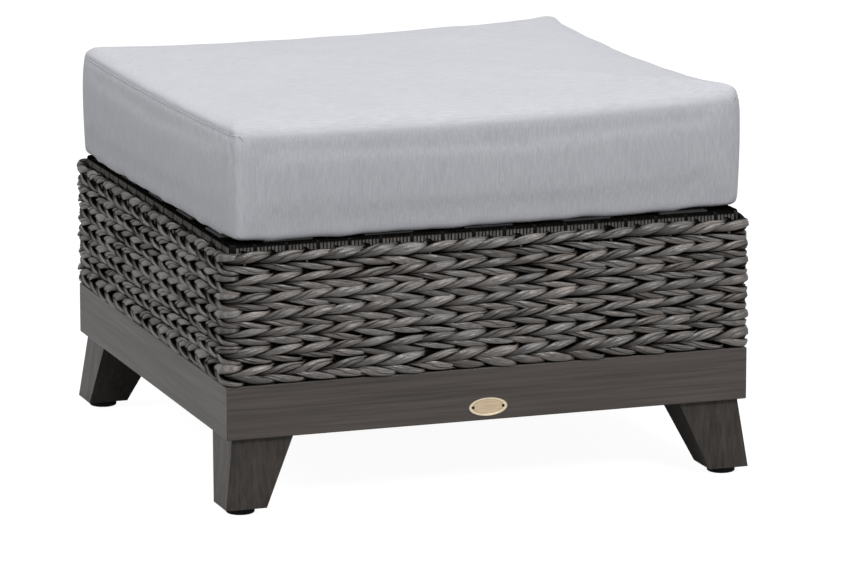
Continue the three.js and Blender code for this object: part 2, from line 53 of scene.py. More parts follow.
# Camera and light
CAMERA_PLACE = (-2.0811, -5.9819, 1.5344)
CAMERA_TURN_DEG = (78.073, 0.0, -19.455)
CAMERA_LENS_MM = 219.80
CAMERA_SENSOR_MM = 36.0

WORLD_STRENGTH = 0.32
LIGHT_AIM = (0, 0, 0.3)
LIGHTS = (
    # name, place, size, watts
    ("top_light", (0.2, 0.6, 3.1), (2.0, 1.6), 36),
    ("key_light", (0.84, -3.32, 2.7), (1.2, 0.8), 63),
    ("fill_light", (-3.4, -0.9, 2.4), (1.6, 1.2), 47),
)

# Floor, with a backdrop that bends up behind. Reflections see a painted shadow on it under the
# stool.
FLOOR_COLOUR = (0.22, 0.22, 0.22)
FLOOR_GLOW = 0.95
FLOOR_REACH = 14.0
BACKDROP_HEIGHT = 8.0
BACKDROP_BEND = 3.0
BACKDROP_STEPS = 12
UNDER_STOOL = 0.28
CLEAR_OF_STOOL = 0.40
PAINTED_SHADOW_GLOW = 0.05

# Weave: where the stakes stand, and the stations of a strand between one stake and the next
STAKES_PER_SIDE = (17, 16, 17, 16)
STATION_SHARES = (0.0, 0.12, 0.23, 0.285, 0.33, 0.375, 0.42, 0.50, 0.58, 0.65, 0.72, 0.81, 0.91)
WEAVE_AXIS_INSET = 2.9 * MM
WEAVE_CORNER_RADIUS = 10.5 * MM

# Middle of each row above the bottom of the weave, from the top row down
ROW_HEIGHTS_MM = (
    151.4, 138.2, 126.1, 116.0, 104.7, 94.9, 83.7, 73.7, 62.9, 53.3, 40.9, 31.9, 18.4, 8.2)
BORDER_INDEX = 12


def row_style(hand, width, thickness, rise, proud, side=0.0, widest=1.6):
    """Strands of a row, in millimetres. Those with hand 1 climb to the right, side says how much
    wider they are on the left and right of the stool, and widest how far they spread behind."""
    return dict(hand=hand, width=width * MM, thickness=thickness * MM, rise=rise * MM,
                proud=proud * MM, side=side, widest=widest)


UP_ROW = row_style(1, width=11.2, thickness=5.2, rise=4.0, proud=0.5, side=-0.06)
DOWN_ROW = row_style(-1, width=9.2, thickness=4.4, rise=3.5, proud=-0.5, side=0.30)
BORDER_ROW = row_style(1, width=12.4, thickness=5.6, rise=5.0, proud=0.9)
TOP_ROW = row_style(1, width=13.2, thickness=5.4, rise=3.8, proud=0.7, widest=1.0)
LAST_ROW = row_style(-1, width=11.0, thickness=5.0, rise=4.2, proud=0.4, side=0.1, widest=1.0)

# A strand over two stakes, by its turn: 0 degrees in front of its stake, 180 behind the next one
STRAND_TABLE = (
    # turn, depth in mm, and shares of the width, rise, painted shade and highlight, and thickness
    (-180, -1.80,  1.60,  0.00,  0.04,  0.68),
    (-166, -1.80,  1.50, -0.70,  0.04,  0.68),
    (-152, -1.20,  1.10, -1.00,  0.05,  0.66),
    (-138,  0.00,  0.55, -1.04,  0.12,  0.60),
    (-120,  1.10,  0.36, -1.00,  0.26,  0.55),
    ( -90,  2.00,  0.48, -0.84,  0.46,  0.70),
    ( -50,  3.00,  0.74, -0.50,  0.70,  0.90),
    (   0,  4.00,  0.96, -0.05,  0.92,  1.00),
    (  35,  4.40,  1.00,  0.25,  1.10,  1.00),
    (  70,  4.40,  0.90,  0.55,  1.32,  0.95),
    ( 105,  4.10,  0.70,  0.82,  1.50,  0.80),
    ( 128,  3.60,  0.50,  0.96,  1.46,  0.60),
    ( 142,  2.60,  0.38,  1.00,  1.00,  0.45),
    ( 152,  0.60,  0.90,  0.95,  0.12,  0.55),
    ( 166, -1.60,  1.40,  0.60,  0.04,  0.66),
    ( 180, -1.80,  1.60,  0.00,  0.04,  0.68),
)
TURN_DEG, DEPTH_MM, WIDTH_SHARE, RISE_SHARE, PAINTED_SHADE_SHARE, THICK_SHARE = zip(*STRAND_TABLE)
STRAND_ROLL = 0.4

# How far one front stretch of a strand differs from the next
TURN_JITTER_DEG = 15
WIDTH_RANGE = (0.78, 1.16)
RISE_RANGE = (0.68, 1.32)
TONE_RANGE = (0.58, 1.38)
LIFT_JITTER = 1.2 * MM
PUSH_JITTER = 0.7 * MM

# Face of a strand: lengthwise lobes and, in some stretches, a deep crease with painted shade in it
# and a painted highlight beside it; the upper edge is painted lighter and both edges darker. Places
# and widths are shares of the half width.
LOBE_TURNS = 1.6
LOBE_DEPTH = 0.3 * MM
CREASE_SHARE = 0.4
CREASE_GAIN = 1.8
CREASE_SPREAD = 0.3
CREASE_SLANT = 0.5
CREASE_DEPTH = 1.8 * MM
CREASE_WIDTH = 0.13
CREASE_PAINTED_SHADE = 0.8
CREST_PLACE = 0.3
CREST_WIDTH = 0.16
CREST_PAINTED_HIGHLIGHT = 0.3
UPPER_EDGE_PAINTED_LIGHT = 0.3
EDGE_PAINTED_SHADE = 0.85

# Stakes: rings from the bottom up, and their tones: painted shade, dark in the gaps of the weave
# below a light band near the top
STAKE_RADIUS = 1.9 * MM
STAKE_CORNERS = 8
STAKE_RINGS_MM = (0, 138, 140, 146, 147.5)
STAKE_PAINTED_SHADES = (0.10, 0.10, 0.9, 0.9, 0.3)

# Flat dark strand laid behind each row, a dark sheet that stands in for the shade in its gaps
BACK_DEPTH = -3.4 * MM
BACK_HALF_WIDTH = 7.4 * MM
BACK_THICKNESS = 1.0 * MM
BACK_PAINTED_SHADE = 0.09
BACK_RANGE = (0.95, 1.06)
BACK_TOP_GAP = 4 * MM
BACK_STEP = 40 * MM

# Painted shade on the left and right: strands darker in front and more even from front to back, the
# strand behind lighter and the windings darker
SIDE_PAINTED_SHADE = 0.45
SIDE_PAINTED_SHADE_EVEN = 0.22
SIDE_BACK_PAINTED_LIGHT = 1.4
SIDE_WINDING_PAINTED_SHADE = 0.72

# Rim windings
WINDING_PITCH = 4.35 * MM
WINDINGS_PER_GROUP = 8
WINDING_WIDTH = 3.7 * MM
WINDING_THICKNESS = 1.8 * MM
WINDING_POINTS = 48
WINDING_CORNER_GAP = 17 * MM
WINDING_SQUARENESS = 0.3
WINDING_SECTION = ((-1.0, -0.6), (-0.6, 1.0), (0.6, 1.0), (1.0, -0.6))
WINDING_STEP = 1.7 * MM
WINDING_LEAN = 0.3 * MM
WINDING_TONES = (0.8, 1.15)
# Painted shade: windings grow dark above this height, under the cushion
WINDING_PAINTED_SHADE_Z = 320.2 * MM
WINDING_PAINTED_SHADE_FADE = 2.2 * MM
WINDING_PAINTED_DARKEST = 0.03

# Streaks of the resin start at a random place along each strand, in metres
STREAK_SHIFT = 9


# Mesh helpers

def new_piece(name, vertices, faces, smooth=True):
    """A mesh object made of vertex and face arrays."""
    mesh = bpy.data.meshes.new(name)
    mesh.from_pydata(np.asarray(vertices).tolist(), [], [list(map(int, face)) for face in faces])
    mesh.validate()
    mesh.polygons.foreach_set("use_smooth", [smooth] * len(mesh.polygons))
    mesh.update()
    piece = bpy.data.objects.new(name, mesh)
    bpy.context.scene.collection.objects.link(piece)
    return piece


def set_attributes(piece, **attributes):
    """Point attributes, each an array or one number for all points."""
    for name, values in attributes.items():
        attribute = piece.data.attributes.new(name, "FLOAT", "POINT")
        numbers = np.empty(len(piece.data.vertices), np.float32)
        numbers[:] = values
        attribute.data.foreach_set("value", numbers)


def tube_faces(ring_count, ring_size, first=0, closed=True):
    """Quads of a tube whose rings follow one another in the vertex list."""
    ring = np.arange(ring_count if closed else ring_count - 1)
    point = np.arange(ring_size)
    ring, point = np.meshgrid(ring, point, indexing="ij")
    following = (ring + 1) % ring_count
    beside = (point + 1) % ring_size
    quads = np.stack([
        ring * ring_size + point,
        ring * ring_size + beside,
        following * ring_size + beside,
        following * ring_size + point,
    ], axis=-1)
    return quads.reshape(-1, 4) + first


def capped_tube(ring_count, ring_size, first=0):
    """Faces of an open tube and of the caps on its first and last ring."""
    faces = [tuple(q) for q in tube_faces(ring_count, ring_size, first, closed=False)]
    last = first + (ring_count - 1) * ring_size
    faces.append(tuple(first + i for i in reversed(range(ring_size))))
    faces.append(tuple(last + i for i in range(ring_size)))
    return faces


def finish_piece(piece, material, slot, body, *replaced):
    piece.data.materials.append(material)
    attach(piece, body)
    if replaced:
        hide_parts(*replaced)
    return piece


# Node helpers

class Nodes:
    """Short calls for building one material."""

    def __init__(self, name):
        self.material = bpy.data.materials.new(name)
        self.material.use_nodes = True
        self.tree = self.material.node_tree
        self.shader = self.tree.nodes["Principled BSDF"]

    def add(self, kind, **settings):
        node = self.tree.nodes.new(kind)
        for key, value in settings.items():
            setattr(node, key, value)
        return node

    def link(self, source, target):
        self.tree.links.new(source, target)

    def feed(self, socket, source):
        self.link(source, self.shader.inputs[socket])

    def fill(self, sockets, sources):
        """Links a source to each socket, or sets the socket where the source is a value."""
        for socket, source in zip(sockets, sources):
            if isinstance(source, (int, float)):
                socket.default_value = source
            elif isinstance(source, (tuple, list)):
                socket.default_value = (*source, 1.0)
            else:
                self.link(source, socket)

    def attribute(self, name):
        node = self.add("ShaderNodeAttribute", attribute_type="GEOMETRY", attribute_name=name)
        return node.outputs["Fac"]

    def place(self):
        return self.add("ShaderNodeTexCoord").outputs["Object"]

    def combine(self, x, y, z):
        node = self.add("ShaderNodeCombineXYZ")
        self.fill(node.inputs, (x, y, z))
        return node.outputs[0]

    def stretch(self, vector, scale):
        node = self.add("ShaderNodeVectorMath", operation="MULTIPLY")
        self.link(vector, node.inputs[0])
        node.inputs[1].default_value = scale
        return node.outputs[0]

    def noise(self, vector, scale=1.0, detail=3.0, roughness=0.55):
        node = self.add("ShaderNodeTexNoise")
        self.link(vector, node.inputs["Vector"])
        node.inputs["Scale"].default_value = scale
        node.inputs["Detail"].default_value = detail
        node.inputs["Roughness"].default_value = roughness
        return node.outputs["Fac"]

    def math(self, operation, a, b=0.0, clamp=False):
        node = self.add("ShaderNodeMath", operation=operation, use_clamp=clamp)
        self.fill(node.inputs, (a, b))
        return node.outputs[0]

    def spread(self, value, low, high, out_low=0.0, out_high=1.0):
        node = self.add("ShaderNodeMapRange")
        self.link(value, node.inputs["Value"])
        for name, number in zip(("From Min", "From Max", "To Min", "To Max"),
                                (low, high, out_low, out_high)):
            node.inputs[name].default_value = number
        return node.outputs[0]

    def mix(self, factor, a, b, blend="MIX"):
        node = self.add("ShaderNodeMix", data_type="RGBA", blend_type=blend)
        self.fill((node.inputs["Factor"], node.inputs[6], node.inputs[7]), (factor, a, b))
        return node.outputs[2]

    def bump(self, height, distance, strength=1.0):
        node = self.add("ShaderNodeBump")
        self.link(height, node.inputs["Height"])
        node.inputs["Distance"].default_value = distance
        node.inputs["Strength"].default_value = strength
        self.feed("Normal", node.outputs[0])

    def set(self, **sockets):
        for name, value in sockets.items():
            self.shader.inputs[name.replace("_", " ")].default_value = value


# Materials

def resin_material(name, light, dark, shine, gloss):
    """Extruded resin strand: fine lengthwise streaks, each stretch a little lighter or warmer,
    darkened and lightened by the painted shade and highlights in the tone attribute.
    """
    m = Nodes(name)
    run = m.combine(m.attribute("along"), m.attribute("across"), m.attribute("tone"))
    fibre = m.noise(m.stretch(run, (60, 2600, 3)), detail=3, roughness=0.6)
    broad = m.noise(m.stretch(run, (35, 700, 5)), detail=2)
    streak = m.math("ADD", m.math("MULTIPLY", fibre, 0.6), m.math("MULTIPLY", broad, 0.4))
    colour = m.mix(m.spread(streak, 0.38, 0.62), dark, light)
    warm = m.mix(m.attribute("tint"), (0.97, 1.0, 1.01), (1.06, 1.0, 0.94))
    colour = m.mix(1.0, colour, warm, "MULTIPLY")
    # tone holds each stretch's own tone together with painted shade and highlights; the gloss is
    # cut where that painted shade is dark
    tone = m.attribute("tone")
    grey = m.combine(tone, tone, tone)
    colour = m.mix(1.0, colour, grey, "MULTIPLY")
    m.feed("Base Color", colour)
    m.feed("Roughness", m.spread(streak, 0.3, 0.7, shine + 0.12, shine - 0.06))
    facing = m.add("ShaderNodeLayerWeight").outputs["Facing"]
    turned = m.spread(facing, 0.25, 0.85, gloss, 0.04)
    m.feed("Specular IOR Level", m.math("MULTIPLY", turned, m.spread(tone, 0.25, 0.85)))
    m.bump(streak, 0.3 * MM, 0.9)
    return m.material


MITRE_COLOUR = (0.012, 0.010, 0.009)
GRAIN_ROUGHNESS = 0.46


def grain_material(name, axis, base, deep, mitre=None):
    """Powder-coated metal with a brushed wood grain that runs along one axis.
    mitre is where, from the middle, the dark line of the corner joint shows."""
    m = Nodes(name)
    place = m.place()

    def lengthwise(along, across):
        return m.stretch(place, [along if i == axis else across for i in range(3)])

    grain = m.noise(lengthwise(5.0, 260.0), detail=4, roughness=0.6)
    hair = m.noise(lengthwise(15.0, 900.0), detail=2)
    bands = m.noise(lengthwise(2.5, 60.0), detail=2)
    mixed = m.math("ADD", m.math("MULTIPLY", grain, 0.5), m.math("MULTIPLY", hair, 0.25))
    mixed = m.math("ADD", mixed, m.math("MULTIPLY", bands, 0.25))
    colour = m.mix(m.spread(mixed, 0.36, 0.64), deep, base)
    m.feed("Roughness", m.spread(mixed, 0.3, 0.7, GRAIN_ROUGHNESS + 0.08, GRAIN_ROUGHNESS - 0.06))
    m.set(Specular_IOR_Level=0.22)
    if mitre:
        split = m.add("ShaderNodeSeparateXYZ")
        m.link(place, split.inputs[0])
        reach = m.math("ABSOLUTE", split.outputs[axis])
        line = m.spread(reach, mitre - 1.8 * MM, mitre - 0.6 * MM, 0.0, 0.75)
        colour = m.mix(line, colour, MITRE_COLOUR)
    m.feed("Base Color", colour)
    m.bump(mixed, 0.08 * MM, 0.5)
    return m.material


def fine_grained(name, colour, rough, specular, scale, contrast, depth):
    """Black powder coat with a faint orange peel, or plastic with a fine moulded grain."""
    m = Nodes(name)
    grain = m.noise(m.place(), scale=scale, detail=2)
    m.feed("Base Color", m.mix(m.spread(grain, 0.3, 0.7), [c * (1 - contrast) for c in colour],
                               [c * (1 + contrast) for c in colour]))
    m.set(Roughness=rough, Specular_IOR_Level=specular)
    m.bump(grain, depth, 0.5)
    return m.material


def metal_material(name, colour, rough):
    """Plated steel, finely brushed."""
    m = Nodes(name)
    brush = m.noise(m.place(), scale=400, detail=3)
    m.feed("Base Color", m.mix(m.spread(brush, 0.35, 0.65), [c * 0.86 for c in colour], colour))
    m.feed("Roughness", m.spread(brush, 0.3, 0.7, rough + 0.08, rough - 0.05))
    m.set(Metallic=1.0)
    m.bump(brush, 0.03 * MM, 0.5)
    return m.material


def plate_material():
    """Brushed old brass with a raised, rubbed rim; the field inside it is bare."""
    m = Nodes("old_brass")
    low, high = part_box("oval_plate")
    place = m.add("ShaderNodeVectorMath", operation="SUBTRACT")
    m.link(m.place(), place.inputs[0])
    place.inputs[1].default_value = [(low[i] + high[i]) / 2 for i in range(3)]
    size = (2 / (high[0] - low[0]), 0, 2 / (high[2] - low[2]))
    reach = m.add("ShaderNodeVectorMath", operation="LENGTH")
    m.link(m.stretch(place.outputs[0], size), reach.inputs[0])
    reach = reach.outputs["Value"]
    rim = m.math("MULTIPLY", m.spread(reach, 0.80, 0.87), m.spread(reach, 0.93, 1.0, 1.0, 0.55))
    groove = m.math("MULTIPLY", m.spread(reach, 0.72, 0.79), m.spread(reach, 0.79, 0.84, 1.0, 0.0))
    brush = m.noise(m.stretch(m.place(), (60, 900, 900)), detail=3)
    field = m.mix(m.spread(brush, 0.35, 0.65), (0.44, 0.345, 0.235), (0.53, 0.42, 0.29))
    colour = m.mix(rim, field, (0.62, 0.53, 0.40))
    colour = m.mix(m.math("MULTIPLY", groove, 0.45), colour, (0.24, 0.18, 0.12))
    m.feed("Base Color", colour)
    m.feed("Roughness", m.spread(brush, 0.3, 0.7, 0.5, 0.37))
    m.set(Metallic=1.0)
    height = m.math("SUBTRACT", m.math("ADD", rim, m.math("MULTIPLY", brush, 0.08)), groove)
    m.bump(height, 0.25 * MM, 0.8)
    return m.material


WEBBING_PITCH = 2.2 * MM


def webbing_material():
    """Ribbed webbing: short crosswise floats in lengthwise cords."""
    m = Nodes("webbing")
    place = m.place()
    split = m.add("ShaderNodeSeparateXYZ")
    m.link(place, split.inputs[0])
    ribs, cords = (m.math("SINE", m.math("MULTIPLY", split.outputs[i], 2 * math.pi / WEBBING_PITCH))
                   for i in (0, 1))
    height = m.spread(m.math("MULTIPLY", ribs, cords), -1.0, 1.0)
    m.feed("Base Color", m.mix(height, (0.008, 0.008, 0.009), (0.03, 0.03, 0.033)))
    m.set(Roughness=0.85)
    m.bump(height, 0.3 * MM, 0.8)
    return m.material


def cloth_material():
    """Heathered slub cloth: streaks run up the sides and across the top, with the shade in the seam
    painted in as a dark line.
    """
    m = Nodes("cushion_cloth")
    place = m.place()
    on_top = m.attribute("on_top")

    def streaks(side_scale, top_scale, detail):
        side = m.noise(m.stretch(place, side_scale), detail=detail)
        top = m.noise(m.stretch(place, top_scale), detail=detail)
        low = m.math("MULTIPLY", side, m.math("SUBTRACT", 1.0, on_top))
        return m.math("ADD", low, m.math("MULTIPLY", top, on_top))

    slub = streaks((700, 700, 60), (60, 700, 700), 3)
    thread = streaks((1900, 1900, 420), (420, 1900, 1900), 2)
    patch = m.noise(place, scale=14, detail=2)
    tone = m.math("ADD", m.math("MULTIPLY", slub, 0.55), m.math("MULTIPLY", thread, 0.35))
    tone = m.math("ADD", tone, m.math("MULTIPLY", patch, 0.10))
    colour = m.mix(m.spread(tone, 0.34, 0.66), (0.505, 0.511, 0.553), (0.665, 0.675, 0.711))
    # Painted shade: a dark line along the seam, where its groove lies in shade
    seam = m.attribute("seam")
    beside = m.spread(m.math("ABSOLUTE", seam), 0.3 * MM, 1.1 * MM)
    line = m.math("SUBTRACT", 1.0, beside, clamp=True)
    colour = m.mix(line, colour, (0.16, 0.16, 0.18))
    m.feed("Base Color", colour)
    m.set(Roughness=0.92, Sheen_Weight=0.12, Sheen_Roughness=0.5, Specular_IOR_Level=0.25)
    height = m.math("SUBTRACT", m.math("MULTIPLY", tone, 0.35), line)
    m.bump(height, 0.35 * MM, 0.7)
    return m.material


WEAVE = resin_material("resin_weave", (0.222, 0.202, 0.191), (0.026, 0.023, 0.021), 0.24, 0.62)
WRAP = resin_material("resin_wrap", (0.30, 0.284, 0.273), (0.10, 0.095, 0.09), 0.42, 0.25)
# One powder coat in three copies: the left and right rails and the legs get darker colours than the
# front and back rails, painted shade for how the light falls on them
GRAIN = [
    grain_material("frame_grain_x", 0, (0.134, 0.116, 0.106), (0.066, 0.057, 0.052), mitre=0.331),
    grain_material("frame_grain_y", 1, (0.070, 0.062, 0.058), (0.062, 0.054, 0.050)),
    grain_material("frame_grain_z", 2, (0.072, 0.062, 0.056), (0.020, 0.017, 0.015)),
]
PEEL = dict(specular=0.05, scale=900, contrast=0.2, depth=0.05 * MM)
INNER = fine_grained("inner_paint", (0.012, 0.0115, 0.0115), 0.5, **PEEL)
ZINC = metal_material("zinc_steel", (0.72, 0.73, 0.75), 0.35)
BRASS = plate_material()
DARK_PIN = fine_grained("dark_pin", (0.02, 0.017, 0.014), 0.45, **PEEL)
WEBBING = webbing_material()
CLOTH = cloth_material()
GLIDE = fine_grained("glide_plastic", (0.010, 0.010, 0.011), 0.5,
                     specular=0.12, scale=1200, contrast=0.3, depth=0.06 * MM)


# Camera, light and floor

def add_camera():
    data = bpy.data.cameras.new("camera")
    data.sensor_fit = "HORIZONTAL"
    data.sensor_width = CAMERA_SENSOR_MM
    data.lens = CAMERA_LENS_MM
    data.clip_start = 0.1
    data.clip_end = 100.0
    camera = bpy.data.objects.new("camera", data)
    camera.location = CAMERA_PLACE
    camera.rotation_euler = [math.radians(angle) for angle in CAMERA_TURN_DEG]
    bpy.context.scene.collection.objects.link(camera)
    bpy.context.scene.camera = camera


def add_area_light(name, place, size, power):
    data = bpy.data.lights.new(name, "AREA")
    data.shape = "RECTANGLE"
    data.size, data.size_y = size
    data.energy = power
    light = bpy.data.objects.new(name, data)
    light.location = place
    direction = Vector(LIGHT_AIM) - Vector(place)
    light.rotation_euler = direction.to_track_quat("-Z", "Y").to_euler()
    bpy.context.scene.collection.objects.link(light)


def add_world():
    """Soft grey light all round, which is plain white where it is looked at."""
    world = bpy.data.worlds.new("studio")
    world.use_nodes = True
    tree = world.node_tree
    background = tree.nodes["Background"]
    background.inputs["Color"].default_value = (1, 1, 1, 1)
    background.inputs["Strength"].default_value = WORLD_STRENGTH
    seen = tree.nodes.new("ShaderNodeBackground")
    seen.inputs["Color"].default_value = (1, 1, 1, 1)
    seen.inputs["Strength"].default_value = 1.0
    rays = tree.nodes.new("ShaderNodeLightPath")
    white = rays.outputs["Is Camera Ray"]
    for kind in ("Is Transmission Ray", "Is Glossy Ray"):
        either = tree.nodes.new("ShaderNodeMath")
        either.operation = "MAXIMUM"
        tree.links.new(white, either.inputs[0])
        tree.links.new(rays.outputs[kind], either.inputs[1])
        white = either.outputs[0]
    mix = tree.nodes.new("ShaderNodeMixShader")
    tree.links.new(white, mix.inputs["Fac"])
    tree.links.new(background.outputs[0], mix.inputs[1])
    tree.links.new(seen.outputs[0], mix.inputs[2])
    tree.links.new(mix.outputs[0], tree.nodes["World Output"].inputs["Surface"])
    bpy.context.scene.world = world


def add_floor():
    """White floor that turns up into a backdrop far behind, and keeps a faint shadow. In
    reflections it is white too, but with a painted shadow under the stool."""
    profile = [(-FLOOR_REACH, 0.0)]
    for i in range(BACKDROP_STEPS + 1):
        angle = i / BACKDROP_STEPS * math.pi / 2
        profile.append((FLOOR_REACH - BACKDROP_BEND * (1 - math.sin(angle)),
                        BACKDROP_BEND * (1 - math.cos(angle))))
    profile.append((FLOOR_REACH, BACKDROP_HEIGHT))
    vertices = [(x, y, z) for y, z in profile for x in (-FLOOR_REACH, FLOOR_REACH)]
    faces = [(2 * i, 2 * i + 1, 2 * i + 3, 2 * i + 2) for i in range(len(profile) - 1)]
    floor = new_piece("floor", vertices, faces)
    m = Nodes("floor")
    m.set(Roughness=0.9, Base_Color=(*FLOOR_COLOUR, 1.0), Specular_IOR_Level=0.0)
    glow = m.add("ShaderNodeEmission")
    glow.inputs["Strength"].default_value = FLOOR_GLOW
    rays = m.add("ShaderNodeLightPath")
    seen = m.math("MAXIMUM", rays.outputs["Is Camera Ray"], rays.outputs["Is Transmission Ray"])
    split = m.add("ShaderNodeSeparateXYZ")
    m.link(m.place(), split.inputs[0])
    # Painted shadow: reflections see the floor's glow cut down under the stool
    beside = [m.spread(m.math("ABSOLUTE", split.outputs[i]),
                       UNDER_STOOL, CLEAR_OF_STOOL, PAINTED_SHADOW_GLOW, 1.0) for i in (0, 1)]
    outside_painted_shadow = m.math("MAXIMUM", *beside)
    seen = m.math("MAXIMUM", seen, m.math("MULTIPLY", rays.outputs["Is Glossy Ray"], outside_painted_shadow))
    both = m.add("ShaderNodeAddShader")
    mix = m.add("ShaderNodeMixShader")
    m.link(m.shader.outputs[0], both.inputs[0])
    m.link(glow.outputs[0], both.inputs[1])
    m.link(seen, mix.inputs["Fac"])
    m.link(m.shader.outputs[0], mix.inputs[1])
    m.link(both.outputs[0], mix.inputs[2])
    m.link(mix.outputs[0], m.tree.nodes["Material Output"].inputs["Surface"])
    floor.data.materials.append(m.material)


# Outline of the stool

FRONT_RAIL_LOW, FRONT_RAIL_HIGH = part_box("front_base_rail")
BASE_HALF = [max(abs(FRONT_RAIL_LOW[0]), abs(FRONT_RAIL_HIGH[0])), abs(FRONT_RAIL_LOW[1])]

# For each side, the way along it and the way out of it
DIRECTIONS = [((1, 0), (0, -1)), ((0, 1), (1, 0)), ((-1, 0), (0, 1)), ((0, -1), (-1, 0))]


def outline(side, share, inset):
    """Points and outward normals along one side, from corner middle to corner middle."""
    along, out = (np.array(d, float) for d in DIRECTIONS[side])
    half = BASE_HALF[side % 2] - inset
    offset = BASE_HALF[1 - side % 2] - inset
    radius = WEAVE_CORNER_RADIUS - inset
    straight = 2 * (half - radius)
    eighth = radius * math.pi / 4
    place = np.asarray(share) * (straight + 2 * eighth) - eighth
    turn = (np.minimum(place, 0) + np.maximum(place - straight, 0)) / radius
    middle = np.clip(place, 0, straight) - straight / 2
    x = middle + radius * np.sin(turn)
    y = offset - radius + radius * np.cos(turn)
    points = x[:, None] * along + y[:, None] * out
    normals = np.sin(turn)[:, None] * along + np.cos(turn)[:, None] * out
    return points, normals


def weave_path():
    """Stations round the whole stool: phase in stakes, points and outward normals."""
    phase, points, normals = [], [], []
    start = 0
    for side, stakes in enumerate(STAKES_PER_SIDE):
        place = (np.arange(stakes)[:, None] + np.array(STATION_SHARES)).ravel()
        p, n = outline(side, place / stakes, WEAVE_AXIS_INSET)
        phase.append(start + place)
        points.append(p)
        normals.append(n)
        start += stakes
    return np.concatenate(phase), np.concatenate(points), np.concatenate(normals)


# Weave: each row is a pair of strands twined round the stakes, and rows lean up and down by turns

# Section of a strand, a flat oval with close points at its two edges: across and out
SECTION_DEG = (0, 18, 34, 48, 60, 71, 81, 90, 99, 109, 120, 132, 146, 162, 180, 235, 305)
SECTION_ANGLES = np.radians(SECTION_DEG)
SECTION_ACROSS = np.sign(np.cos(SECTION_ANGLES)) * np.abs(np.cos(SECTION_ANGLES)) ** 0.9
SECTION_OUT = np.sign(np.sin(SECTION_ANGLES)) * np.abs(np.sin(SECTION_ANGLES)) ** 0.7
SECTION_FRONT = np.clip((SECTION_OUT - 0.2) / 0.4, 0, 1)


def per_stretch(generator, phase, low, high):
    """One random number for each front stretch of a strand, changed where the strand is behind."""
    count = sum(STAKES_PER_SIDE) // 2
    numbers = generator.uniform(low, high, count)
    position = phase / 2
    whole = np.floor(position).astype(int)
    ease = np.clip((position - whole - 0.33) / 0.22, 0, 1)
    ease = ease * ease * (3 - 2 * ease)
    return numbers[whole % count] * (1 - ease) + numbers[(whole + 1) % count] * ease


def over_turn(turn, table):
    """Value of a table at each turn of a strand."""
    return np.interp((turn + 180) % 360 - 180, TURN_DEG, table)


